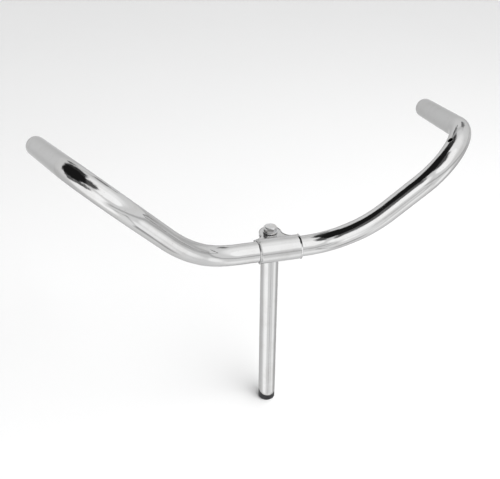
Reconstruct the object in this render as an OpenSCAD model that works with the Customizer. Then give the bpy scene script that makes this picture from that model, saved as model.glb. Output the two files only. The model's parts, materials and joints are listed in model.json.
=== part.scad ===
// Swept-back handlebar in a quill stem.
// +X is the rider's right, +Y points back towards the rider, +Z is up.
// The origin is on the stem's axis, level with the underside of its weld.

/* [Handlebar tube] */
// Outside diameter of the bar, the usual size for grips and levers
bar_d = 22.2; // [18:0.1:27]
// Wall thickness of the bar
bar_wall = 1.6; // [1:0.1:3]
// How much thinner bending draws the tube, on the radius
bend_thinning = 0.05; // [0.03:0.01:0.2]
// Straight length that is left between the strap and the nearer bend
bend_clear = 6; // [2:1:40]
// Lean of the first bends towards the front, from straight up
rise_lean = 38.3; // [0:0.1:80]
// Centreline radius of the first bend
rise_r = 60; // [40:1:120]
// Turn of the first bend
rise_turn = 44.7; // [10:0.1:70]
// Straight length between the first bend and the sweep
rise_len = 5; // [1:1:60]
// Roll of the bending plane before the sweep
sweep_roll = -71; // [-120:1:0]
// Centreline radius of the long, slow sweep
sweep_r = 186; // [80:1:400]
// Turn of the sweep
sweep_turn = 15; // [5:0.5:30]
// Straight length of the arm between the sweep and the hand bend
arm_len = 45; // [10:1:120]
// Roll of the bending plane before the hand bend
hand_roll = -62; // [-90:1:-20]
// Centreline radius of the hand bend
hand_r = 52; // [35:1:90]
// Turn of the hand bend, which points the grips back
hand_turn = 107; // [70:0.5:130]
// Straight length for a grip, from the hand bend to the end
grip_len = 127; // [80:1:180]
// Sideways set of the bar in its clamp
bar_shift = -8; // [-10:1:10]

/* [Wire hole] */
// Diameter of the wire hole in the right hand bend
wire_hole_d = 6; // [3:0.5:10]
// How far round the hand bend the hole lies
wire_hole_turn = 56; // [20:1:70]
// Direction of the hole, turned from the inside of the bend to its upper side
wire_hole_roll = 105; // [60:1:150]

/* [Clamp strap] */
// Length of the strap along the bar
strap_w = 46; // [36:1:60]
// Thickness of the strap
strap_t = 2.4; // [1.5:0.1:4]
// Gap between the two ears of the strap
ear_gap = 1; // [0.5:0.1:3]
// Inside radius of the bends between the loop and the ears
ear_bend_r = 2.8; // [1:0.1:5]
// Rim of the ears' round end that is left outside the weld
ear_rim = 0.4; // [0.2:0.1:3]
// Radius of the hollow corners where the ears narrow
ear_hollow_r = 10.6; // [4:0.1:14]
// Distance between the bar's axis and the stem's axis
stem_offset = 33; // [27:0.5:50]
// Distance from the stem's axis to the shoulders where the ears narrow
ear_neck = 12.8; // [10:0.1:16]

/* [Stem tube] */
// Outside diameter of the stem tube
stem_d = 20; // [16:0.1:25.4]
// Wall thickness of the stem tube
stem_wall = 2; // [1.5:0.1:4]
// Length of the stem tube below its weld at the front, which is its longest side
stem_len = 219; // [120:1:300]
// Slope of the cut at the bottom end
wedge_angle = 25; // [10:1:40]
// Leg of the weld that joins the tube to the lower ear
weld_leg = 2; // [1:0.1:4]

/* [Expander] */
// Diameter of the expander bolt's thread
bolt_d = 8; // [6:0.5:10]
// Width of the bolt's head across its flats
head_af = 13; // [10:1:16]
// Height of the bolt's head
head_h = 5.3; // [3.5:0.1:8]
// Where the bolt's head came to rest when it was tightened
head_turn = -15; // [-30:1:30]
// Flat top of the bolt's head, as a share of the width across its flats
head_crown = 0.92; // [0.8:0.01:1]
// Slope of the chamfer round the flat top
head_chamfer = 30; // [15:1:45]
// Outside diameter of the washer
washer_d = 16; // [13:0.5:22]
// Thickness of the washer
washer_t = 1.6; // [1:0.1:3]
// Height of the wedge nut at the front, which is its shortest side
wedge_front_h = 7.4; // [5:0.1:20]
// How far the bolt's end stays inside the wedge nut
bolt_recess = 1; // [0:0.1:3]

/* [Clearances] */
// Radial play between the bar and the strap's loop
bar_play = 0.05; // [0.01:0.01:0.1]
// Radial play of the bolt in the ears and the washer
bolt_play = 0.5; // [0.2:0.1:1]
// Radial play that stands for the thread in the wedge nut
thread_play = 0.05; // [0.01:0.01:0.1]
// Amount by which the wedge nut is thinner than the stem tube, on the radius
wedge_play = 0.2; // [0.1:0.05:1]
// Gap between the sloping faces of the tube and the wedge nut
wedge_gap = 0.2; // [0.1:0.1:1]

/* [Hidden] */
$fn = 96;
eps = 1;                                  // how far a cutter runs past a face
lap = 0.5;                                // how far the bar's straight lengths run into its bends
ease = 0.03;                              // how far curves cross that would only touch

bar_r = bar_d / 2;
stem_r = stem_d / 2;
bolt_r = bolt_d / 2;
bolt_hole_r = bolt_r + bolt_play;
centre_half = strap_w / 2 + abs(bar_shift) + bend_clear;

// Each row bends the tube once: straight length before it, roll, radius and turn
BENDS = [
    [centre_half, rise_lean, rise_r, rise_turn],
    [rise_len, sweep_roll, sweep_r, sweep_turn],
    [arm_len, hand_roll, hand_r, hand_turn]
];
HAND_BEND = len(BENDS) - 1;

loop_r = bar_r + bar_play;                // inside radius of the strap's loop
loop_mid_r = loop_r + strap_t / 2;
bar_z = weld_leg + strap_t + ear_gap / 2; // the bar's axis is level with the gap
ear_r = stem_r + weld_leg + ear_rim;      // half width of the ears' round end
ear_mid_z = (ear_gap + strap_t) / 2;      // middle of an ear, from the bar's axis
bend_mid_r = ear_bend_r + strap_t / 2;
bend_z = ear_mid_z + bend_mid_r;          // centre of an ear's bend, from the bar's axis
bend_y = sqrt(pow(loop_mid_r + bend_mid_r, 2) - pow(bend_z, 2));
bend_angle = asin(bend_z / (loop_mid_r + bend_mid_r));

ear_top_z = bar_z + ear_gap / 2 + strap_t;
head_z = ear_top_z + washer_t;
slope = tan(wedge_angle);
wedge_bottom_z = -stem_len - wedge_front_h;
bolt_end_z = wedge_bottom_z + bolt_recess;

// Puts its children at the bar's axis
module at_bar() {
    translate([0, -stem_offset, bar_z]) children();
}

// A rod of radius r over bend i and the straight before it, which lap each other
module rod_bend(i, r) {
    row = BENDS[i];
    translate([0, 0, -lap]) cylinder(h = row[0] + 2 * lap, r = r);
    translate([0, 0, row[0]])
        rotate([0, 0, row[1]])
            translate([row[2], 0, 0])
                rotate([90, 0, 0])
                    rotate([0, 0, 180 - row[3]])
                        rotate_extrude(angle = row[3])
                            translate([row[2], 0]) circle(r = r - bend_thinning);
}

// Moves along bend i: over its straight length and round part of its turn
module along_bend(i, turn) {
    row = BENDS[i];
    translate([0, 0, row[0]])
        rotate([0, 0, row[1]])
            translate([row[2], 0, 0])
                rotate([0, turn, 0])
                    translate([-row[2], 0, 0])
                        children();
}

// The rod from bend i to the grip's end, and as far past it as is asked
module rod_from(i, r, past) {
    if (i < len(BENDS)) {
        rod_bend(i, r);
        along_bend(i, BENDS[i][3]) rod_from(i + 1, r, past);
    } else {
        translate([0, 0, -lap]) cylinder(h = lap + grip_len + past, r = r);
    }
}

// Goes on from bend i to the place of the wire hole in the hand bend
module to_wire_hole(i) {
    if (i < HAND_BEND) along_bend(i, BENDS[i][3]) to_wire_hole(i + 1) children();
    else along_bend(i, wire_hole_turn) rotate([0, 0, wire_hole_roll]) children();
}

// Turns a half bar that runs up +Z so that it runs along +X and rises
module lay_half() {
    rotate([180, -90, 0]) children();
}

// The whole bar as a rod: two equal halves that lap in the middle
module bar_rod(r, past) {
    lay_half() rod_from(0, r, past);
    mirror([1, 0, 0]) lay_half() rod_from(0, r, past);
}

module handlebar_tube() {
    color("silver")
        at_bar()
            translate([bar_shift, 0, 0])
                difference() {
                    bar_rod(bar_r, 0);
                    bar_rod(bar_r - bar_wall, eps);
                    lay_half()
                        to_wire_hole(0)
                            rotate([0, 90, 0])
                                cylinder(h = bar_d, d = wire_hole_d);
                }
}

// Side view of the strap, seen from the bar's axis: a loop with two flat ears
module strap_profile() {
    ear_end = stem_offset + ear_r + eps;
    mouth_y = loop_r * cos(bend_angle);
    mouth_z = loop_r * sin(bend_angle);
    difference() {
        union() {
            circle(r = loop_r + strap_t);
            difference() {
                translate([0, -bend_z]) square([bend_y, 2 * bend_z]);
                for (side = [-1, 1])
                    translate([bend_y, side * bend_z]) circle(r = ear_bend_r + ease);
            }
            translate([0, -ear_gap / 2 - strap_t]) square([ear_end, ear_gap + 2 * strap_t]);
        }
        circle(r = loop_r);
        translate([mouth_y - eps, -ear_gap / 2]) square([ear_end, ear_gap]);
        difference() {
            translate([mouth_y - eps, -mouth_z]) square([bend_y - mouth_y + eps, 2 * mouth_z]);
            for (side = [-1, 1])
                translate([bend_y, side * bend_z]) circle(r = ear_bend_r + strap_t + ease);
        }
    }
}

// Plan of the strap, seen from the stem's axis: the ears narrow to a round end
module strap_plan() {
    front_y = -stem_offset - loop_r - strap_t - eps;
    difference() {
        union() {
            circle(r = ear_r);
            translate([-ear_r, front_y]) square([2 * ear_r, -front_y]);
            translate([-strap_w / 2 - eps, front_y]) square([strap_w + 2 * eps, -ear_neck - front_y]);
            difference() {
                translate([-ear_r - ear_hollow_r, -ear_neck - eps])
                    square([2 * (ear_r + ear_hollow_r), ear_hollow_r + eps]);
                for (side = [-1, 1])
                    translate([side * (ear_r + ear_hollow_r), ear_hollow_r - ear_neck])
                        circle(r = ear_hollow_r);
            }
        }
        circle(r = bolt_hole_r);
    }
}

module clamp_strap() {
    color("gainsboro")
        intersection() {
            at_bar()
                rotate([90, 0, 90])
                    linear_extrude(height = strap_w, center = true) strap_profile();
            translate([0, 0, bar_z])
                linear_extrude(height = 2 * (loop_r + strap_t + eps), center = true) strap_plan();
        }
}

// Everything above a plane that slopes up towards the back
module above_slope(front_z, top_z) {
    rotate([90, 0, 90])
        linear_extrude(height = 2 * stem_d, center = true)
            polygon([
                [-stem_d, front_z - slope * (stem_d - stem_r)],
                [stem_d, front_z + slope * (stem_d + stem_r)],
                [stem_d, top_z],
                [-stem_d, top_z]
            ]);
}

module stem_tube() {
    color("silver") {
        intersection() {
            translate([0, 0, -stem_len])
                linear_extrude(height = stem_len + weld_leg)
                    difference() {
                        circle(r = stem_r);
                        circle(r = stem_r - stem_wall);
                    }
            above_slope(-stem_len, weld_leg + eps);
        }
        rotate_extrude()
            polygon([
                [stem_r - stem_wall / 2, 0],
                [stem_r, 0],
                [stem_r + weld_leg, weld_leg],
                [stem_r - stem_wall / 2, weld_leg]
            ]);
    }
}

module bolt_washer() {
    color("lightgray")
        translate([0, 0, ear_top_z])
            linear_extrude(height = washer_t)
                difference() {
                    circle(d = washer_d);
                    circle(r = bolt_hole_r);
                }
}

// Head with its top corners turned off, and a shank down to the wedge nut
module expander_bolt() {
    corner_r = head_af / sqrt(3);
    crown_r = head_crown * head_af / 2;
    color("lightgray")
        rotate([0, 0, head_turn]) {
            intersection() {
                translate([0, 0, head_z]) cylinder(h = head_h, r = corner_r, $fn = 6);
                translate([0, 0, head_z])
                    rotate_extrude()
                        polygon([
                            [0, 0],
                            [corner_r, 0],
                            [corner_r, head_h - (corner_r - crown_r) * tan(head_chamfer)],
                            [crown_r, head_h],
                            [0, head_h]
                        ]);
            }
            translate([0, 0, bolt_end_z]) cylinder(h = head_z - bolt_end_z, r = bolt_r);
        }
}

module wedge_nut() {
    color("dimgray")
        difference() {
            translate([0, 0, wedge_bottom_z])
                cylinder(h = stem_d + wedge_front_h, r = stem_r - wedge_play);
            above_slope(-stem_len - wedge_gap, stem_d);
            translate([0, 0, wedge_bottom_z - eps])
                cylinder(h = 2 * stem_d + wedge_front_h, r = bolt_r + thread_play);
        }
}

handlebar_tube();
clamp_strap();
stem_tube();
bolt_washer();
expander_bolt();
wedge_nut();
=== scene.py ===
"""Looks for a swept-back handlebar in its quill stem.

Lengths are in millimetres until they become vertices.
"""

import json
import math

import bmesh
import bpy
from mathutils import Matrix, Vector


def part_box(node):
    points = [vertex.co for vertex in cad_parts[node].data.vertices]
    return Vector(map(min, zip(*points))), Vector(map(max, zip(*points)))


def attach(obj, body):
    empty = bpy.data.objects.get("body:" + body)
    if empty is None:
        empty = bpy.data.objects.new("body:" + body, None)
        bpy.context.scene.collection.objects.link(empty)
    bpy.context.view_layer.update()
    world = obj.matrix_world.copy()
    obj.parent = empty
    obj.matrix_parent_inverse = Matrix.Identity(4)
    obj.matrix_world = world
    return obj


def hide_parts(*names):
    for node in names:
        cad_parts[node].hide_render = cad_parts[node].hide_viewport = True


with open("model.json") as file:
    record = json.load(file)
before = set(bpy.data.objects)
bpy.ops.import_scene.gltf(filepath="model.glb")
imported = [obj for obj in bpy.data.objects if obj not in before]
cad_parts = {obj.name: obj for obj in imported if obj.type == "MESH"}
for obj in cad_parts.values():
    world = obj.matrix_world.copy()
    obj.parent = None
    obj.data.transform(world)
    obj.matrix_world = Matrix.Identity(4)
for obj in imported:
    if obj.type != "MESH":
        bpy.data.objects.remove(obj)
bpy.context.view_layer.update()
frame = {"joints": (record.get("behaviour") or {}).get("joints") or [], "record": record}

MM = 0.001
RECORD = frame["record"]
MOUNTS = {mount["name"]: mount for mount in RECORD["mounts"]}
JOINTS = {joint["name"]: joint for joint in frame["joints"]}


def node_box(name):
    """Lowest and highest corner of a CAD node, in millimetres."""
    low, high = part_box(name)
    return low / MM, high / MM


# ---------------------------------------------------------------- sizes

# The bar: each row is a straight length, the roll of the bending plane, its radius and its turn.
BENDS = (
    (37, 38.3, 60, 44.7),
    (5, -71, 186, 15),
    (45, -62, 52, 107),
)
BAR_R = MOUNTS["grip_right"]["dims"]["r_mm"]
GRIP_LEN = MOUNTS["grip_right"]["dims"]["length_mm"]
BORE_R = BAR_R - 1.6
BAR_CENTRE = Vector(JOINTS["bar_tilt"]["pos_m"]) / MM
BAR_CENTRE.x = (MOUNTS["grip_right"]["pos_m"][0] + MOUNTS["grip_left"]["pos_m"][0]) / 2 / MM
RING = 96                # points round the bar
STRAIGHT_STEP = 8        # most length between rings on a straight stretch
BEND_STEP = 2.5          # most length between rings in a bend
BEND_STEP_TURN = 1.2     # most turn between rings in a bend
END_EDGE_R = 0.45        # rounding of the cut ends' outer edge
END_BORE_R = 0.25        # rounding of their inner edge
RIDGE_H = 0.35           # height of the tube's own weld ridge, inside the bore
RIDGE_TURN = 200         # where it lies round the bore
RIDGE_HALF = 4           # degrees from its middle to its flanks
HOLE_R = 3
HOLE_TURN = 56           # how far round the hand bend the wire hole lies
HOLE_ROLL = 105          # its direction, from the inside of the bend
HOLE_LIP = ((0.3, 0), (0.12, 0.06), (0.03, 0.16), (0, 0.35))  # beyond the hole's radius, below the wall
PATCH_HALF = 5.1         # half length of the square patch of faces that holds the hole
PATCH_CELLS = 6          # rings in that half length
PATCH_WIDE = 7           # points round the bar in half its width

# The strap: a loop of flat steel with two ears.
STRAP_LOW, STRAP_HIGH = node_box("clamp_strap")
STRAP_T = 2.4
EAR_GAP = 1
EAR_BEND_R = 2.8
EAR_R = STRAP_HIGH.y
EAR_HOLLOW_R = 10.6
EAR_NECK = 12.8
LOOP_R = BAR_R + 0.05
STRAP_HALF = (STRAP_HIGH.x - STRAP_LOW.x) / 2
STRAP_EDGE_R = 0.5       # rounding of the strap's edges
STRAP_STEP = 0.7         # most length between the rows of faces round the loop
STRAP_COLUMNS = 16       # faces across the strap
SHOULDER_R = 1.5         # rounding of the shoulders, where the strap gets its full width
ARC_STEPS = 24           # faces round the ear's tip, and along each hollow
SHOULDER_STEPS = 8

# The stem tube, the washer, the bolt and the wedge nut, all on the Z axis.
STEM_R = MOUNTS["stem_quill"]["dims"]["r_mm"]
STEM_LEN = MOUNTS["stem_quill"]["dims"]["length_mm"]
STEM_BORE_R = STEM_R - 2
STEM_POINTS = 192
WELD_TOP = node_box("stem_tube")[1].z
WELD_R = node_box("stem_tube")[1].x
SLOPE = math.tan(math.radians(25))
PLAIN_LOW = -STEM_LEN + 2 * STEM_R * SLOPE + 4  # above this the tube's rings are level
CUT_EDGE_R = 0.4         # rounding of the cut's outer edge
CUT_BORE_R = 0.25        # rounding of its inner edge
BEAD_FOOT = -0.6         # level of the weld bead's foot
BEAD_STEPS = 8
BEAD_RIPPLES = 34        # ripples round the bead
BEAD_SKEW = 1.6          # how far each ripple leans round the stem, in radians of its wave
BEAD_WAVE = 0.09         # height of the ripples
BEAD_CROWN = 0.30        # height of the bead's round back
BEAD_INSET = 0.12        # how far its edges stay inside the weld's corner

WASHER_LOW, WASHER_HIGH = node_box("bolt_washer")
WASHER_BORE_R = 4.5
WASHER_BREAK = 0.15      # broken edges of the washer's hole
WASHER_FACE_R = 6.9      # where its upper face is divided
WASHER_EDGE_R = 0.35     # rounding of the rim's upper edge
WASHER_FOOT_R = 0.08     # rounding of its lower edge

BOLT_LOW, BOLT_HIGH = node_box("expander_bolt")
BOLT_R = 4
HEAD_TURN = math.radians(-15)
HEAD_CORNER = BOLT_HIGH.x / math.cos(HEAD_TURN)
HEAD_FLAT = HEAD_CORNER * math.cos(math.pi / 6)
HEAD_CROWN = 0.92 * HEAD_FLAT
HEAD_CHAMFER = math.tan(math.radians(30))
HEAD_WORN = 0.12         # how much turning takes off the hexagon's corners
HEAD_BOSS_R = 5.2        # inner edge of the head's underside
HEAD_FOOT = ((0.35, 0.1), (0.1, 0.2), (0, 0.45))  # in from the hexagon, up from the washer
HEAD_EDGE_H = 0.28       # height of the rounding between the sides and the chamfer
HEAD_EDGE = ((0, HEAD_EDGE_H), (0.03, 0.126), (0.11, 0.042), (0.24, 0.01))  # in, and below the chamfer
THREAD_PITCH = 1.25
THREAD_DEPTH = 0.68
THREAD_LEN = 38
THREAD_STEPS = 10        # rings for each turn of the bolt's thread

WEDGE_LOW, WEDGE_HIGH = node_box("wedge_nut")
WEDGE_GAP = 0.2          # gap between the sloping faces of tube and nut
WEDGE_EDGE_R = 0.35      # rounding of the sloping face's edge
NUT_BORE_R = BOLT_R + 0.05
NUT_LEAD = 0.45          # depth of the countersink before the nut's thread
NUT_THREAD_LEN = 6.0
NUT_THREAD_DEPTH = 0.5
NUT_THREAD_STEPS = 8     # rings for each turn of the nut's thread
NUT_FOOT = ((0, 0.95), (0.1, 0.72), (0.72, 0.1), (0.95, 0), (2.2, 0))  # in from the side, up from below
NUT_MOUTH = ((1.4, 0), (0.6, 0), (0.15, NUT_LEAD))                     # beyond the bore, up from below


# ---------------------------------------------------------------- meshes

class Shape:
    """Gathers points in millimetres and faces between them, and makes one mesh of them.

    Each point also keeps its place on the piece as if it were laid out straight, with x along the
    polishing marks. The materials read that as the attribute "lay".
    """

    def __init__(self):
        self.points = []
        self.lay = []
        self.faces = []
        self.marks = []

    def add(self, points, lay=None):
        """Adds points and returns their numbers."""
        first = len(self.points)
        self.points += [Vector(p) for p in points]
        self.lay += [Vector(p) for p in (lay if lay is not None else points)]
        return list(range(first, len(self.points)))

    def bridge(self, a, b, mark=0, closed=True):
        """Faces between two rows of the same length."""
        count = len(a)
        for i in range(count if closed else count - 1):
            j = (i + 1) % count
            self.faces.append((a[i], a[j], b[j], b[i]))
            self.marks.append(mark)

    def fill(self, ring, mark=0):
        self.faces.append(tuple(ring))
        self.marks.append(mark)

    def build(self, name, materials, body, node):
        mesh = bpy.data.meshes.new(name)
        mesh.from_pydata([p * MM for p in self.points], [], self.faces)
        lay = mesh.attributes.new("lay", "FLOAT_VECTOR", "POINT")
        lay.data.foreach_set("vector", [value for p in self.lay for value in p])
        mesh.polygons.foreach_set("material_index", self.marks)
        mesh.polygons.foreach_set("use_smooth", [True] * len(self.faces))
        for material in materials:
            mesh.materials.append(material)
        tidy_normals(mesh)
        piece = bpy.data.objects.new(name, mesh)
        bpy.context.scene.collection.objects.link(piece)
        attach(piece, body)
        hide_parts(node)
        return piece


def tidy_normals(mesh):
    """Turns all faces of a closed mesh outward."""
    work = bmesh.new()
    work.from_mesh(mesh)
    bmesh.ops.recalc_face_normals(work, faces=work.faces)
    work.to_mesh(mesh)
    work.free()


def round_angles(count):
    return [2 * math.pi * i / count for i in range(count)]


def circle(radius, z, count):
    return [(radius * math.cos(a), radius * math.sin(a), z) for a in round_angles(count)]


def corner(radius, steps):
    """A rounded corner as pairs of distances from its two faces. It starts on the second face."""
    angles = [math.pi / 2 * i / steps for i in range(steps + 1)]
    return [(radius * (1 - math.sin(a)), radius * (1 - math.cos(a))) for a in angles]


def spread(start, stop, step):
    """Numbers from start to stop in even steps no longer than step, without the first."""
    count = max(1, math.ceil(abs(stop - start) / step))
    return [start + (stop - start) * (i + 1) / count for i in range(count)]


# ---------------------------------------------------------------- the bar

class Spine:
    """The bar's centreline from its middle to one end, by length, with a frame that never twists."""

    def __init__(self):
        self.stretches = []
        self.length = 0
        at = Vector((0, 0, 0))
        plane = Matrix.Rotation(math.radians(-90), 3, "Y") @ Matrix.Rotation(math.pi, 3, "X")
        carried = Matrix(((0, 0, 1), (1, 0, 0), (0, 1, 0)))
        for straight, roll, radius, turn in BENDS:
            self.note(straight, at, plane, carried, None)
            at = at + plane.col[2] * straight
            plane = plane @ Matrix.Rotation(math.radians(roll), 3, "Z")
            turn = math.radians(turn)
            self.note(radius * turn, at, plane, carried, radius)
            self.hand_plane = plane
            self.hand_start = self.length - radius * turn
            at = self.point_on(self.stretches[-1], radius * turn)
            carried = Matrix.Rotation(turn, 3, plane.col[1]) @ carried
            plane = plane @ Matrix.Rotation(turn, 3, "Y")
        self.note(GRIP_LEN, at, plane, carried, None)

    def note(self, length, at, plane, carried, radius):
        self.stretches.append((self.length, length, at, plane.copy(), carried.copy(), radius))
        self.length += length

    @staticmethod
    def point_on(stretch, along):
        _, _, at, plane, _, radius = stretch
        if radius is None:
            return at + plane.col[2] * along
        angle = along / radius
        return at + plane @ Vector((radius * (1 - math.cos(angle)), 0, radius * math.sin(angle)))

    def at(self, s):
        """Centre and the two cross directions at length s. A negative s is in the left half."""
        away = abs(s)
        stretch = [x for x in self.stretches if x[0] <= away + 1e-9][-1]
        start, _, _, plane, carried, radius = stretch
        centre = self.point_on(stretch, away - start)
        turned = carried
        if radius is not None:
            turned = Matrix.Rotation((away - start) / radius, 3, plane.col[1]) @ carried
        one, two = turned.col[0].copy(), turned.col[1].copy()
        if s < 0:
            centre.x, one.x, two.x = -centre.x, -one.x, -two.x
        return centre + BAR_CENTRE, one, two

    def surface(self, s, angle, radius):
        """A point at length s, that far from the centreline, in the direction of the angle round it."""
        centre, one, two = self.at(s)
        return centre + radius * (math.cos(angle) * one + math.sin(angle) * two)


def bar_stations(spine):
    """Lengths of the rings from the middle to the end: close together in the bends."""
    stations = [0.0]
    for start, length, _, _, _, radius in spine.stretches:
        step = STRAIGHT_STEP if radius is None else min(radius * math.radians(BEND_STEP_TURN), BEND_STEP)
        stations += spread(start, start + length, step)
    return stations


def bore_radius(angle):
    """The bore with the low ridge of the tube's own weld."""
    apart = math.degrees(math.remainder(angle - math.radians(RIDGE_TURN), 2 * math.pi))
    return BORE_R - RIDGE_H * math.exp(-(apart / RIDGE_HALF) ** 2)


def make_bar(outside, inside):
    """The bent tube, both of its walls, with the wire hole through the right hand bend."""
    spine = Spine()
    shape = Shape()
    hand_turn = spine.hand_start + math.radians(HOLE_TURN) * BENDS[-1][2]
    out = spine.hand_plane @ Matrix.Rotation(math.radians(HOLE_TURN), 3, "Y")
    out = out @ Matrix.Rotation(math.radians(HOLE_ROLL), 3, "Z") @ Vector((1, 0, 0))
    _, one, two = spine.at(hand_turn)
    hole_angle = math.atan2(out.dot(two), out.dot(one))
    angles = [hole_angle + a for a in round_angles(RING)]

    # Rings, with even steps through the square patch that holds the wire hole.
    cell = PATCH_HALF / PATCH_CELLS
    patch = [hand_turn + cell * i for i in range(-PATCH_CELLS, PATCH_CELLS + 1)]
    right = [s for s in bar_stations(spine) if not patch[0] - 0.5 < s < patch[-1] + 0.5]
    right = sorted(right + patch)
    left = [-s for s in bar_stations(spine) if s > 0]
    stations = sorted(left + right)

    def bar_ring(s, radius_at):
        """Points of a ring, and their lay."""
        points = [spine.surface(s, a, radius_at(a)) for a in angles]
        return points, [(s, radius_at(a) * math.cos(a), radius_at(a) * math.sin(a)) for a in angles]

    def tube(radius_at, mark, trim):
        """Makes one wall apart from the patch. Returns its rings by their length, and those lengths."""
        rows = {}
        kept = [s for s in stations if abs(s) < spine.length - trim - 0.01]
        kept = [trim - spine.length] + kept + [spine.length - trim]
        for s in kept:
            rows[s] = shape.add(*bar_ring(s, radius_at))
        for near, far in zip(kept, kept[1:]):
            a, b = rows[near], rows[far]
            holed = patch[0] - 1e-6 < near and far < patch[-1] + 1e-6
            for i in range(RING):
                if holed and (i < PATCH_WIDE or i >= RING - PATCH_WIDE):
                    continue
                j = (i + 1) % RING
                shape.faces.append((a[i], a[j], b[j], b[i]))
                shape.marks.append(mark)
        return rows, kept

    def edge_of_patch(rows):
        """The patch's border as (point number, length along, angle round), both from the hole's middle."""
        step = 2 * math.pi / RING
        border = [(s, -PATCH_WIDE) for s in patch[:-1]]
        border += [(patch[-1], i) for i in range(-PATCH_WIDE, PATCH_WIDE)]
        border += [(s, PATCH_WIDE) for s in reversed(patch[1:])]
        border += [(patch[0], i) for i in range(PATCH_WIDE, -PATCH_WIDE, -1)]
        return [(rows[s][i % RING], s - hand_turn, i * step) for s, i in border]

    def round_hole(rows, radius_at, mark, rims):
        """Fills the patch up to the hole. rims are (hole radius, depth below the wall) of the last rings."""
        border = edge_of_patch(rows)
        ring = [number for number, _, _ in border]
        first_r = rims[0][0]
        stages = [(k / 5, rims[0]) for k in range(1, 5)] + [(1, rim) for rim in rims]
        for share, (hole_r, depth) in stages:
            points, lay = [], []
            for _, along, around in border:
                radius = radius_at(hole_angle + around) - depth
                way = math.atan2(BAR_R * math.sin(around), along)
                reach = hole_r if share == 1 else first_r
                u = along + (reach * math.cos(way) - along) * share
                v = around + (math.asin(reach * math.sin(way) / radius) - around) * share
                points.append(spine.surface(hand_turn + u, hole_angle + v, radius))
                a = hole_angle + v
                lay.append((hand_turn + u, radius * math.cos(a), radius * math.sin(a)))
            new = shape.add(points, lay)
            shape.bridge(ring, new, mark)
            ring = new
        return ring

    outer_rows, outer_kept = tube(lambda a: BAR_R, 0, END_EDGE_R)
    inner_rows, inner_kept = tube(bore_radius, 1, END_BORE_R)
    lip = [(HOLE_R + wider, depth) for wider, depth in HOLE_LIP]
    outer_rim = round_hole(outer_rows, lambda a: BAR_R, 0, lip)
    inner_rim = round_hole(inner_rows, bore_radius, 1, [(HOLE_R + 0.1, 0), (HOLE_R, -0.1)])
    shape.bridge(outer_rim, inner_rim, 1)

    # The cut ends. Each edge's rings run the wrong way round, which leaves a fold as deep as the
    # rounding. So do the rings at the stem's cut and at the wedge nut's top edge.
    for side, row in ((-1, 0), (1, -1)):
        ring = outer_rows[outer_kept[row]]
        edge = [(BAR_R - b, a) for b, a in corner(END_EDGE_R, 4)][1:]
        edge += [(BORE_R + a, b) for a, b in reversed(corner(END_BORE_R, 2))][:-1]
        for radius, trim in edge:
            new = shape.add(*bar_ring(side * (spine.length - trim), lambda a, r=radius: r))
            shape.bridge(ring, new, 0 if radius >= BAR_R - END_EDGE_R else 1)
            ring = new
        shape.bridge(ring, inner_rows[inner_kept[row]], 1)
    return shape.build("handlebar_tube_visual", [outside, inside], "bar", "handlebar_tube")


# ---------------------------------------------------------------- the strap

def strap_side():
    """One side of the flat blank from the ear's tip to its full width, and the run where that starts.

    Each point is (x, run, outward x, outward run), and the run is the length from the ear's tip.
    """
    outline = []
    for i in range(1, ARC_STEPS + 1):
        a = math.radians(90 - 90 * i / ARC_STEPS)
        outline.append((EAR_R * math.cos(a), EAR_R * (1 - math.sin(a)), math.cos(a), -math.sin(a)))
    hollow_x = EAR_R + EAR_HOLLOW_R
    hollow_run = EAR_R + EAR_NECK - EAR_HOLLOW_R
    shoulder_x = STRAP_HALF - SHOULDER_R
    reach = EAR_HOLLOW_R + SHOULDER_R
    shoulder_run = hollow_run + math.sqrt(reach ** 2 - (hollow_x - shoulder_x) ** 2)
    meet = math.atan2(shoulder_run - hollow_run, hollow_x - shoulder_x)
    for i in range(ARC_STEPS + 1):
        a = meet * i / ARC_STEPS
        x = hollow_x - EAR_HOLLOW_R * math.cos(a)
        outline.append((x, hollow_run + EAR_HOLLOW_R * math.sin(a), math.cos(a), -math.sin(a)))
    for i in range(1, SHOULDER_STEPS + 1):
        a = meet * (1 - i / SHOULDER_STEPS)
        nx, nrun = math.cos(a), -math.sin(a)
        outline.append((shoulder_x + SHOULDER_R * nx, shoulder_run + SHOULDER_R * nrun, nx, nrun))
    return outline, shoulder_run


def strap_bend():
    """The strap's middle layer seen from its end, with the bar's centre as the origin.

    Gives the loop's radius, the ear's level, the bend's radius, its centre's height and distance, and
    the angle above the level at which the bend meets the loop.
    """
    loop = LOOP_R + STRAP_T / 2
    level = (EAR_GAP + STRAP_T) / 2
    bend = EAR_BEND_R + STRAP_T / 2
    rise = level + bend
    run = math.sqrt((loop + bend) ** 2 - rise ** 2)
    return loop, level, bend, rise, run, math.asin(rise / (loop + bend))


def strap_place(x, run, out):
    """Where a point of the blank goes when the strap is bent, and the blank's whole length.

    run is the length from the upper ear's tip, and out the distance outward from the middle layer.
    """
    loop, level, bend, rise, bend_y, tilt = strap_bend()
    ear = EAR_R - BAR_CENTRE.y - bend_y
    bend_len = bend * (math.pi / 2 - tilt)
    loop_len = loop * (2 * math.pi - 2 * tilt)
    whole = 2 * (ear + bend_len) + loop_len
    lower = run > whole / 2
    if lower:
        run = whole - run
    if run < ear:
        y, z, ny, nz = bend_y + ear - run, level, 0, 1
    elif run < ear + bend_len:
        a = (run - ear) / bend
        ny, nz = math.sin(a), math.cos(a)
        y, z = bend_y - bend * ny, rise - bend * nz
    else:
        a = tilt + (run - ear - bend_len) / loop
        ny, nz = math.cos(a), math.sin(a)
        y, z = loop * ny, loop * nz
    y, z = y + out * ny, z + out * nz
    if lower:
        z = -z
    return Vector((x, BAR_CENTRE.y + y, BAR_CENTRE.z + z)), whole


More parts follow.
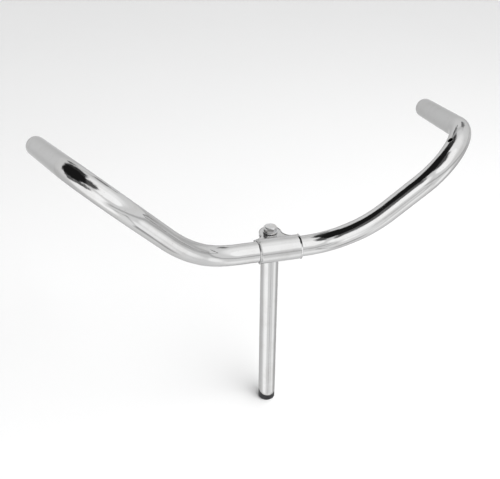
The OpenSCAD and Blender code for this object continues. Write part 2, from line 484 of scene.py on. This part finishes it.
def make_strap(outside):
    """The rolled strap with its two ears. The washer and the bolt cover the bolt hole, so it has none."""
    shape = Shape()
    half, straight_from = strap_side()
    whole = strap_place(0, 0, 0)[1]
    middle = [(STRAP_HALF, run, 1, 0) for run in spread(straight_from, whole - straight_from, STRAP_STEP)]
    side = half + middle[:-1] + [(x, whole - run, nx, -nrun) for x, run, nx, nrun in reversed(half)]
    other_side = [(-x, run, -nx, nrun) for x, run, nx, nrun in reversed(side)]
    border = [(0, 0, 0, -1)] + side + [(0, whole, 0, 1)] + other_side

    # The border's rings from one face to the other. Each rounding runs the wrong way round, so both
    # faces lie STRAP_EDGE_R too deep, inside a folded rim that has the strap's true thickness.
    profile = [(a, STRAP_T / 2 - b) for a, b in reversed(corner(STRAP_EDGE_R, 4))]
    profile += [(a, b - STRAP_T / 2) for a, b in corner(STRAP_EDGE_R, 4)]
    rings = []
    for inset, out in profile:
        flat = [(x - nx * inset, run - nrun * inset, out) for x, run, nx, nrun in border]
        rings.append(shape.add([strap_place(*p)[0] for p in flat], flat))
    for a, b in zip(rings, rings[1:]):
        shape.bridge(a, b)

    # Both faces: rows straight across between matching border points.
    for ring, out in ((rings[0], profile[0][1]), (rings[-1], profile[-1][1])):
        count = len(side)
        rows = []
        for i in range(count):
            right, left = ring[1 + i], ring[-1 - i]
            a, b = shape.lay[left], shape.lay[right]
            flat = [a.lerp(b, k / STRAP_COLUMNS) for k in range(1, STRAP_COLUMNS)]
            inner = shape.add([strap_place(p.x, p.y, out)[0] for p in flat], flat)
            rows.append([left] + inner + [right])
        for a, b in zip(rows, rows[1:]):
            shape.bridge(a, b, closed=False)
        for tip, row in ((ring[0], rows[0]), (ring[1 + count], rows[-1])):
            for a, b in zip(row, row[1:]):
                shape.fill((tip, a, b))
    return shape.build("clamp_strap_visual", [outside], "stem", "clamp_strap")


# ---------------------------------------------------------------- pieces on the stem's axis

def turned(shape, profile, count, mark=0):
    """A turned surface through (radius, z) points. Returns its first and last ring."""
    rings = []
    run = 0
    for i, (radius, z) in enumerate(profile):
        if i:
            run += math.dist(profile[i - 1], profile[i])
        points = circle(radius, z, count)
        rings.append(shape.add(points, [(run, x, y) for x, y, _ in points]))
    for a, b in zip(rings, rings[1:]):
        shape.bridge(a, b, mark)
    return rings[0], rings[-1]


def cut_height(y):
    """Height of the sloping cut at the stem's bottom end."""
    return -STEM_LEN + SLOPE * (y + STEM_R)


def bead_point(a, t):
    """A point of the weld bead at angle a, with t from 0 at its top to 1 at its foot."""
    ripple = abs(math.sin(a * BEAD_RIPPLES / 2 + BEAD_SKEW * t))
    swell = BEAD_CROWN * math.sin(math.pi * t)
    swell += BEAD_WAVE * ripple * math.sin(math.pi * min(1, t * 1.1))
    radius = max(WELD_R + (STEM_R - WELD_R) * t + swell * 0.7 - BEAD_INSET, STEM_R)
    z = WELD_TOP + (BEAD_FOOT - WELD_TOP) * t - swell * 0.5 * (1 - t)
    return radius * math.cos(a), radius * math.sin(a), z


def make_stem(outside, inside):
    """The stem tube with its weld bead, down the outside, round the sloping cut and up the bore."""
    shape = Shape()
    angles = round_angles(STEM_POINTS)

    def add_points(points):
        return shape.add(points, [(z, x, y) for x, y, z in points])

    def ring(radius, height):
        """One ring, whose height is a function of y."""
        flat = [(radius * math.cos(a), radius * math.sin(a)) for a in angles]
        return add_points([(x, y, height(y)) for x, y in flat])

    def towards_cut(y, rounding, share):
        """Height between the last level ring and the edge's rounding, as a share of the way down."""
        return PLAIN_LOW + (cut_height(y) + rounding - PLAIN_LOW) * share

    rings = []
    for k in range(BEAD_STEPS + 1):
        rings.append(add_points([bead_point(a, k / BEAD_STEPS) for a in angles]))
    for z in spread(BEAD_FOOT, PLAIN_LOW, 6):
        rings.append(ring(STEM_R, lambda y, z=z: z))
    for share in (0.25, 0.5, 0.75, 0.92):
        rings.append(ring(STEM_R, lambda y, s=share: towards_cut(y, CUT_EDGE_R, s)))
    for b, a in corner(CUT_EDGE_R, 3):
        rings.append(ring(STEM_R - b, lambda y, a=a: cut_height(y) + a))
    for a, b in reversed(corner(CUT_BORE_R, 2)):
        rings.append(ring(STEM_BORE_R + a, lambda y, b=b: cut_height(y) + b))
    outer = len(rings) - 1
    for share in (0.5, 0):
        rings.append(ring(STEM_BORE_R, lambda y, s=share: towards_cut(y, CUT_BORE_R, s)))
    for z in spread(PLAIN_LOW, WELD_TOP, 12):
        rings.append(ring(STEM_BORE_R, lambda y, z=z: z))
    for i, (a, b) in enumerate(zip(rings, rings[1:])):
        shape.bridge(a, b, 0 if i < outer else 1)
    shape.bridge(rings[-1], rings[0], 0)
    return shape.build("stem_tube_visual", [outside, inside], "stem", "stem_tube")


def make_washer(outside):
    shape = Shape()
    low, high, radius = WASHER_LOW.z, WASHER_HIGH.z, WASHER_HIGH.x
    broken_r = WASHER_BORE_R + WASHER_BREAK
    profile = [(WASHER_BORE_R, low + WASHER_BREAK), (broken_r, low)]
    profile += [(radius - b, low + a) for a, b in reversed(corner(WASHER_FOOT_R, 2))]
    profile += [(radius - b, high - a) for a, b in corner(WASHER_EDGE_R, 4)]
    profile += [(WASHER_FACE_R, high), (broken_r, high), (WASHER_BORE_R, high - WASHER_BREAK)]
    first, last = turned(shape, profile, 96)
    shape.bridge(last, first)
    return shape.build("bolt_washer_visual", [outside], "stem", "bolt_washer")


def thread_phase(a, z):
    """How far a point lies from one turn of the thread to the next, as a share of the pitch."""
    return (z / THREAD_PITCH - a / (2 * math.pi)) % 1


def make_bolt(outside):
    """Hexagon head with turned-off corners, plain shank and a cut thread at its lower end."""
    shape = Shape()
    angles = round_angles(144)
    low, high = WASHER_HIGH.z, BOLT_HIGH.z

    def hexagon(a, inset=0.0):
        """Radius of a hexagon whose corners the turning has rounded a little."""
        apart = math.remainder(a - HEAD_TURN - math.pi / 6, math.pi / 3)
        return min((HEAD_FLAT - inset) / math.cos(apart), HEAD_CORNER - HEAD_WORN - inset)

    def chamfer(r):
        return high - max(0, r - HEAD_CROWN) * HEAD_CHAMFER

    def thread(a, z, deep):
        """Radius of the thread, which gets thinner at the bolt's end."""
        groove = min(1, max(0, (abs(2 * thread_phase(a, z) - 1) - 0.12) / 0.72))
        thinner = 0.5 * max(0, 1 - (z - BOLT_LOW.z) / 0.8)
        return BOLT_R - THREAD_DEPTH * groove * deep - thinner

    def ring(radius_at, z_at):
        """One ring. The radius is a function of the angle, and the height a function of the radius."""
        points = []
        for a in angles:
            r = radius_at(a)
            points.append((r * math.cos(a), r * math.sin(a), z_at(r)))
        return shape.add(points, [(math.hypot(x, y), z, math.atan2(y, x)) for x, y, z in points])

    # The head, from its underside up to its flat top.
    rings = [ring(lambda a: HEAD_BOSS_R, lambda r: low + 0.1)]
    for inset, up in HEAD_FOOT:
        rings.append(ring(lambda a, i=inset: hexagon(a, i), lambda r, u=up: low + u))
    for share in (0.33, 0.66):
        rings.append(ring(hexagon, lambda r, s=share: low + (chamfer(r) - HEAD_EDGE_H - low) * s))
    for inset, down in HEAD_EDGE:
        rings.append(ring(lambda a, i=inset: hexagon(a, i), lambda r, d=down: chamfer(r) - d))
    rings.append(ring(lambda a: min(HEAD_CROWN + 0.12, hexagon(a, 0.3)), lambda r: chamfer(r) - 0.015))
    rings.append(ring(lambda a: HEAD_CROWN - 0.12, lambda r: high - 0.004))
    for r in (HEAD_CROWN - 0.5, HEAD_CROWN * 0.6, HEAD_CROWN * 0.3):
        rings.append(ring(lambda a, r=r: r, lambda r: high))
    for a, b in zip(rings, rings[1:]):
        shape.bridge(a, b)
    shape.fill(rings[-1])

    # The shank joins the head's underside and runs down into the thread.
    thread_top = BOLT_LOW.z + THREAD_LEN
    rows = int(THREAD_LEN / THREAD_PITCH * THREAD_STEPS)
    shank = [ring(lambda a: BOLT_R, lambda r: low + 0.1)]
    for z in spread(low, thread_top, 20):
        shank.append(ring(lambda a: BOLT_R, lambda r, z=z: z))
    for k in range(1, rows + 1):
        z = thread_top - THREAD_LEN * k / rows
        deep = min(1, k / THREAD_STEPS, (rows - k) / (THREAD_STEPS * 0.8) + 0.15)
        shank.append(ring(lambda a, z=z, d=deep: thread(a, z, d), lambda r, z=z: z))
    shape.bridge(rings[0], shank[0])
    for a, b in zip(shank, shank[1:]):
        shape.bridge(a, b)
    shape.fill(shank[-1])
    return shape.build("expander_bolt_visual", [outside], "bolt", "expander_bolt")


def make_wedge(outside):
    """The wedge nut: a sloping top, a broken lower edge and a threaded bore."""
    shape = Shape()
    angles = round_angles(96)
    radius, low = WEDGE_HIGH.x, WEDGE_LOW.z
    thread_low = low + NUT_LEAD

    def top(y):
        return cut_height(y) - WEDGE_GAP

    def thread(a, z):
        """Radius of the nut's thread, which starts shallow."""
        groove = max(0, 1 - abs(2 * thread_phase(a, z) - 1) * 1.3)
        return NUT_BORE_R + NUT_THREAD_DEPTH * groove * min(1, z - thread_low)

    def ring(radius_at, z_at):
        """One ring. The radius is a number or a function of the angle, and the height a function of y."""
        points = []
        for a in angles:
            r = radius_at(a) if callable(radius_at) else radius_at
            points.append((r * math.cos(a), r * math.sin(a), z_at(r * math.sin(a))))
        return shape.add(points, [(z, x, y) for x, y, z in points])

    rings = []
    for b, a in corner(WEDGE_EDGE_R, 3):
        rings.append(ring(radius - a, lambda y, b=b: top(y) - b))
    for share in (0.3, 0.6, 0.85):
        rings.append(ring(radius, lambda y, s=share: (top(y) - WEDGE_EDGE_R) * (1 - s) + (low + 0.9) * s))
    for inset, up in NUT_FOOT:
        rings.append(ring(radius - inset, lambda y, u=up: low + u))
    for beyond, up in NUT_MOUTH:
        rings.append(ring(NUT_BORE_R + beyond, lambda y, u=up: low + u))
    rows = int(NUT_THREAD_LEN / THREAD_PITCH * NUT_THREAD_STEPS)
    for k in range(1, rows + 1):
        z = thread_low + NUT_THREAD_LEN * k / rows
        rings.append(ring(lambda a, z=z: thread(a, z), lambda y, z=z: z))
    rings.append(ring(NUT_BORE_R, lambda y: thread_low + NUT_THREAD_LEN + 0.15))
    rings.append(ring(NUT_BORE_R, lambda y: top(y) - 0.3))
    rings.append(ring(NUT_BORE_R + 0.3, top))
    for a, b in zip(rings, rings[1:]):
        shape.bridge(a, b)
    shape.bridge(rings[-1], rings[0])
    return shape.build("wedge_nut_visual", [outside], "wedge", "wedge_nut")


# ---------------------------------------------------------------- materials

class Nodes:
    """Adds shader nodes. Sockets are given by name, or as i0 and i1 by number, as links or values."""

    def __init__(self, tree):
        self.tree = tree

    def add(self, kind, settings=None, **sockets):
        made = self.tree.nodes.new(kind)
        for name, value in (settings or {}).items():
            setattr(made, name, value)
        for name, value in sockets.items():
            key = int(name[1:]) if name[1:].isdigit() else name.replace("_", " ")
            self.link(made.inputs[key], value)
        return made

    def link(self, socket, value):
        if isinstance(value, bpy.types.NodeSocket):
            self.tree.links.new(value, socket)
        else:
            socket.default_value = value

    def scaled(self, vector, scale):
        made = self.add("ShaderNodeVectorMath", {"operation": "MULTIPLY"}, i0=vector, i1=scale)
        return made.outputs[0]

    def noise(self, vector, scale, detail=2.0, roughness=0.5):
        return self.add("ShaderNodeTexNoise", None, Vector=vector, Scale=scale, Detail=detail,
                        Roughness=roughness).outputs["Fac"]

    def span(self, value, low, high, to_low=0.0, to_high=1.0):
        """Goes smoothly from to_low to to_high while the value goes from low to high."""
        made = self.add("ShaderNodeMapRange", {"interpolation_type": "SMOOTHSTEP"}, Value=value,
                        From_Min=low, From_Max=high, To_Min=to_low, To_Max=to_high)
        return made.outputs[0]

    def mix(self, share, a, b):
        made = self.add("ShaderNodeMix", {"data_type": "RGBA"})
        self.link(made.inputs[0], share)
        self.link(made.inputs[6], a)
        self.link(made.inputs[7], b)
        return made.outputs[2]

    def math(self, operation, a, b):
        return self.add("ShaderNodeMath", {"operation": operation}, i0=a, i1=b).outputs[0]

    def bump(self, height, distance, strength=1.0, normal=None):
        made = self.add("ShaderNodeBump", None, Height=height, Distance=distance, Strength=strength)
        if normal is not None:
            self.tree.links.new(normal, made.inputs["Normal"])
        return made.outputs[0]


def start(name):
    """A new material with its nodes, its shader, and the two ways to place a pattern on the piece."""
    material = bpy.data.materials.new(name)
    material.use_nodes = True
    nodes = Nodes(material.node_tree)
    shader = material.node_tree.nodes["Principled BSDF"]
    lay = nodes.add("ShaderNodeAttribute", {"attribute_name": "lay"}).outputs["Vector"]
    place = nodes.add("ShaderNodeTexCoord").outputs["Object"]
    return material, nodes, shader, lay, place


def grey(value, warm=0.0):
    return (value * (1 + warm), value, value * (1 - warm), 1)


def chrome(name, tone, rough, ripple):
    """Chrome plate: long soft polishing streaks, hairlines, cloudy handling marks and a few pinholes.

    ripple is the depth of the streaks in metres, as for every bump here.
    """
    material, nodes, shader, lay, place = start(name)
    streak = nodes.noise(nodes.scaled(lay, (0.03, 0.5, 0.5)), 1.0, 4.0, 0.6)
    hairline = nodes.noise(nodes.scaled(lay, (0.12, 7.0, 7.0)), 1.0, 3.0, 0.6)
    cloud = nodes.noise(place, 38.0, 4.0, 0.6)
    spots = nodes.add("ShaderNodeTexVoronoi", None, Vector=place, Scale=230.0).outputs["Distance"]
    pin = nodes.span(spots, 0.045, 0.07, 1.0, 0.0)
    haze = nodes.span(cloud, 0.42, 0.72)
    tint = nodes.mix(haze, grey(tone), grey(tone * 0.93, 0.008))
    tint = nodes.mix(pin, tint, grey(tone * 0.35, 0.05))
    nodes.link(shader.inputs["Base Color"], tint)
    roughness = nodes.math("ADD", nodes.span(cloud, 0.35, 0.75, rough, rough + 0.07),
                           nodes.span(hairline, 0.45, 0.85, 0.0, 0.05))
    nodes.link(shader.inputs["Roughness"], nodes.math("ADD", roughness, nodes.math("MULTIPLY", pin, 0.4)))
    shader.inputs["Metallic"].default_value = 1.0
    shader.inputs["Specular Tint"].default_value = grey(0.72)
    wavy = nodes.bump(streak, ripple)
    nodes.link(shader.inputs["Normal"], nodes.bump(hairline, 0.0022 * MM, 1.0, wavy))
    return material


def raw_steel(name):
    """The bare inside of a drawn tube: dull steel with drawing lines and a bloom of rust."""
    material, nodes, shader, lay, place = start(name)
    lines = nodes.noise(nodes.scaled(lay, (0.03, 2.2, 2.2)), 1.0, 4.0, 0.7)
    bloom = nodes.span(nodes.noise(place, 90.0, 6.0, 0.65), 0.5, 0.72)
    steel = nodes.mix(lines, (0.10, 0.098, 0.095, 1), (0.24, 0.235, 0.228, 1))
    nodes.link(shader.inputs["Base Color"], nodes.mix(bloom, steel, (0.16, 0.075, 0.035, 1)))
    nodes.link(shader.inputs["Roughness"], nodes.span(bloom, 0.0, 1.0, 0.42, 0.8))
    nodes.link(shader.inputs["Metallic"], nodes.span(bloom, 0.0, 1.0, 0.9, 0.1))
    nodes.link(shader.inputs["Normal"], nodes.bump(lines, 0.06 * MM))
    return material


def plated_steel(name, tone, rings):
    """Zinc-plated steel: fine turning rings, a faint blue and yellow cast, and specks of grime."""
    material, nodes, shader, lay, place = start(name)
    turning = nodes.noise(nodes.scaled(lay, (rings, 0.25, 0.25)), 1.0, 3.0, 0.6)
    cloud = nodes.noise(place, 160.0, 4.0, 0.6)
    cast = nodes.mix(nodes.span(cloud, 0.35, 0.65), grey(tone, -0.015), grey(tone * 0.95, 0.015))
    grime = nodes.span(nodes.noise(place, 420.0, 5.0, 0.7), 0.62, 0.75)
    nodes.link(shader.inputs["Base Color"], nodes.mix(grime, cast, grey(tone * 0.45, 0.05)))
    nodes.link(shader.inputs["Roughness"], nodes.math("ADD", nodes.span(cloud, 0.3, 0.7, 0.20, 0.34),
                                                      nodes.math("MULTIPLY", turning, 0.08)))
    shader.inputs["Metallic"].default_value = 1.0
    nodes.link(shader.inputs["Normal"], nodes.bump(turning, 0.02 * MM))
    return material


def black_oxide(name):
    """Black oxide on cast and machined steel: a grainy skin, worn to metal in places, slightly oily."""
    material, nodes, shader, lay, place = start(name)
    grain = nodes.noise(place, 1500.0, 4.0, 0.65)
    worn = nodes.span(nodes.noise(place, 260.0, 5.0, 0.7), 0.56, 0.7)
    fleck = nodes.noise(place, 700.0, 3.0)
    skin = nodes.mix(fleck, (0.012, 0.012, 0.014, 1), (0.035, 0.035, 0.038, 1))
    nodes.link(shader.inputs["Base Color"], nodes.mix(worn, skin, (0.11, 0.108, 0.105, 1)))
    nodes.link(shader.inputs["Roughness"], nodes.span(grain, 0.3, 0.7, 0.32, 0.55))
    nodes.link(shader.inputs["Metallic"], nodes.span(worn, 0.0, 1.0, 0.45, 0.9))
    nodes.link(shader.inputs["Normal"], nodes.bump(grain, 0.06 * MM))
    return material


# ---------------------------------------------------------------- studio

# The photograph's view: where the camera stands, its roll, the point it looks at, and its distance.
VIEW_AZIMUTH, VIEW_ELEVATION, VIEW_ROLL = -15.347, 30.815, 0.501
VIEW_CENTRE = Vector((-22.755, 0, 0.943))
VIEW_AWAY = 883.868
VIEW_LENS = 58.402

FLOOR_HALF = 3000
FLOOR_GAP = 0.2          # from the floor up to the wedge nut
OPEN_TONE = 0.95         # brightness of the surroundings between the places
DARK = 0.3               # places below this brightness have ragged edges
RAGGED = 0.36            # how ragged, as a share of their size


def heading(azimuth, elevation):
    """Unit vector towards a place in the studio. Azimuth 0 is the front (-Y), and 90 is +X."""
    a, e = math.radians(azimuth), math.radians(elevation)
    return Vector((math.sin(a) * math.cos(e), -math.cos(a) * math.cos(e), math.sin(e)))


# Soft places in the studio, and one spot of painted shade, each laid over the ones before: azimuth,
# elevation, radius of the full tone, radius where it ends, brightness.
PLACES = (
    (30, 66, 22, 52, 1.26),
    (8, 44, 26, 33, 1.42),
    (0, -60, 10, 36, 1.08),
    (20, -54, 6, 18, 1.26),
    (-72, -10, 18, 36, 1.36),
    (-42, 4, 10, 26, 1.45),
    (-50, -35, 8, 24, 1.46),
    (56, -34, 6, 20, 1.32),
    (104, -32, 10, 30, 0.72),
    (-130, -36, 14, 36, 0.80),
    # Painted shade: this dark spot low in front stands in for the object's own shadow below it, as the bar
    # would reflect it.
    (8, -76, 4, 12, 0.66),
    (165, -20, 10, 40, 0.82),
    (178, 31, 4, 10, 0.20),
    (141, 31, 5, 12, 0.25),
    (-63, 20, 8, 14, 0.24),
    (-54, 62, 16, 26, 0.12),
    (-145, 56, 21, 30, 0.05),
    (-98, 8, 10, 15, 0.16),
    (-79, 18, 10, 15, 0.17),
    (-108, 45, 30, 35, 0.015),
)

# Thin dark lines in the studio: edges between its panels, and one line of painted shade. Each row gives
# azimuth and elevation of the middle of the circle it follows, its radius, half width, brightness kept, then
# azimuth and elevation of the stretch that shows and how far it reaches.
SEAM_AND_SHADE_LINES = (
    (0, 90, 98, 8, 0.66, 35, -8, 75),
    (0, 90, 89, 3.5, 0.70, 116, 1, 28),
    (0, 90, 118, 5, 0.80, -20, -28, 28),
    (0, 90, 48, 7, 0.82, 158, 42, 26),
    # Painted shade: this line down the lower front stands in for the object's own shade, as the bar would
    # reflect it.
    (95, 0, 90, 5, 0.70, 4, -50, 32),
)


def make_world():
    """Pale surroundings with soft lights in front and dark openings, most of them at the left. A dark spot
    and a
    line low in front are painted shade: the object's own shade as the bar would reflect it.

    Only reflections and light see them. The camera sees a plain pale backdrop.
    """
    world = bpy.data.worlds.new("studio")
    world.use_nodes = True
    bpy.context.scene.world = world
    nodes = Nodes(world.node_tree)
    direction = nodes.add("ShaderNodeTexCoord").outputs["Generated"]
    ragged = nodes.math("SUBTRACT", nodes.noise(direction, 7.0, 5.0, 0.7), 0.5)

    def towards(vector):
        return nodes.add("ShaderNodeVectorMath", {"operation": "DOT_PRODUCT"}, i0=direction,
                         i1=vector).outputs["Value"]

    tone = grey(OPEN_TONE)
    for azimuth, elevation, inner, outer, bright in PLACES:
        near = towards(heading(azimuth, elevation))
        if bright < DARK:
            sway = nodes.math("MULTIPLY", ragged, RAGGED * math.sin(math.radians(outer)))
            near = nodes.math("ADD", near, sway)
        low, high = math.cos(math.radians(outer)), math.cos(math.radians(inner))
        tone = nodes.mix(nodes.span(near, low, high), tone, grey(bright))
    for azimuth, elevation, radius, half_width, kept, *stretch, reach in SEAM_AND_SHADE_LINES:
        pole = towards(heading(azimuth, elevation))
        off = nodes.math("SUBTRACT", pole, math.cos(math.radians(radius)))
        apart = nodes.add("ShaderNodeMath", {"operation": "ABSOLUTE"}, i0=off).outputs[0]
        width = math.sin(math.radians(half_width)) * math.sin(math.radians(radius))
        shown = nodes.span(towards(heading(*stretch)), math.cos(math.radians(reach)),
                           math.cos(math.radians(reach * 0.7)))
        line = nodes.math("MULTIPLY", shown, nodes.span(apart, width * 0.3, width, 1.0, 0.0))
        tone = nodes.mix(nodes.math("MULTIPLY", line, 1 - kept), tone, grey(0))
    seen = nodes.add("ShaderNodeLightPath").outputs["Is Camera Ray"]
    background = world.node_tree.nodes["Background"]
    nodes.link(background.inputs["Color"], nodes.mix(seen, tone, grey(0.93)))
    background.inputs["Strength"].default_value = 1.0


def make_floor():
    """Plain pale paper just below the wedge nut."""
    half, level = FLOOR_HALF * MM, (WEDGE_LOW.z - FLOOR_GAP) * MM
    corners = [(half * x, half * y, level) for x, y in ((-1, -1), (1, -1), (1, 1), (-1, 1))]
    mesh = bpy.data.meshes.new("floor")
    mesh.from_pydata(corners, [], [(0, 1, 2, 3)])
    floor = bpy.data.objects.new("floor", mesh)
    bpy.context.scene.collection.objects.link(floor)
    material, nodes, shader, _, place = start("floor_paper")
    mottle = nodes.noise(place, 3.0, 2.0)
    nodes.link(shader.inputs["Base Color"], nodes.mix(mottle, grey(0.95), grey(0.97)))
    shader.inputs["Roughness"].default_value = 0.9
    mesh.materials.append(material)
    floor.visible_glossy = False


def soft_light(name, azimuth, elevation, away, size, power):
    """A round lamp that points at the origin. away and size are in metres, and power in watts."""
    light = bpy.data.lights.new(name, "AREA")
    light.shape = "DISK"
    light.size = size
    light.energy = power
    lamp = bpy.data.objects.new(name, light)
    lamp.location = heading(azimuth, elevation) * away
    lamp.rotation_euler = (-lamp.location).to_track_quat("-Z", "Y").to_euler()
    lamp.visible_glossy = False
    bpy.context.scene.collection.objects.link(lamp)


def make_camera():
    back = heading(VIEW_AZIMUTH, VIEW_ELEVATION)
    right = heading(VIEW_AZIMUTH + 90, 0)
    up = back.cross(right)
    tilt = Matrix.Rotation(math.radians(VIEW_ROLL), 3, back)
    data = bpy.data.cameras.new("camera")
    data.lens = VIEW_LENS
    data.sensor_width = 36
    data.clip_start = 0.05
    camera = bpy.data.objects.new("camera", data)
    place = Matrix((tilt @ right, tilt @ up, back)).transposed().to_4x4()
    place.translation = (VIEW_CENTRE + back * VIEW_AWAY) * MM
    camera.matrix_world = place
    bpy.context.scene.collection.objects.link(camera)
    bpy.context.scene.camera = camera


bpy.context.scene.view_settings.view_transform = "Standard"
make_camera()
make_world()
make_floor()
soft_light("key", azimuth=35, elevation=55, away=1.6, size=1.4, power=19)

bar_chrome = chrome("bar_chrome_plate", tone=0.62, rough=0.03, ripple=0.08 * MM)
strap_chrome = chrome("strap_chrome_plate", tone=0.60, rough=0.12, ripple=0.04 * MM)
stem_chrome = chrome("stem_chrome_plate", tone=0.60, rough=0.05, ripple=0.05 * MM)
bare = raw_steel("bare_tube_steel")
make_bar(bar_chrome, bare)
make_strap(strap_chrome)
make_stem(stem_chrome, bare)
make_washer(plated_steel("washer_zinc", tone=0.80, rings=3.0))
make_bolt(plated_steel("bolt_zinc", tone=0.70, rings=2.0))
make_wedge(black_oxide("wedge_black"))
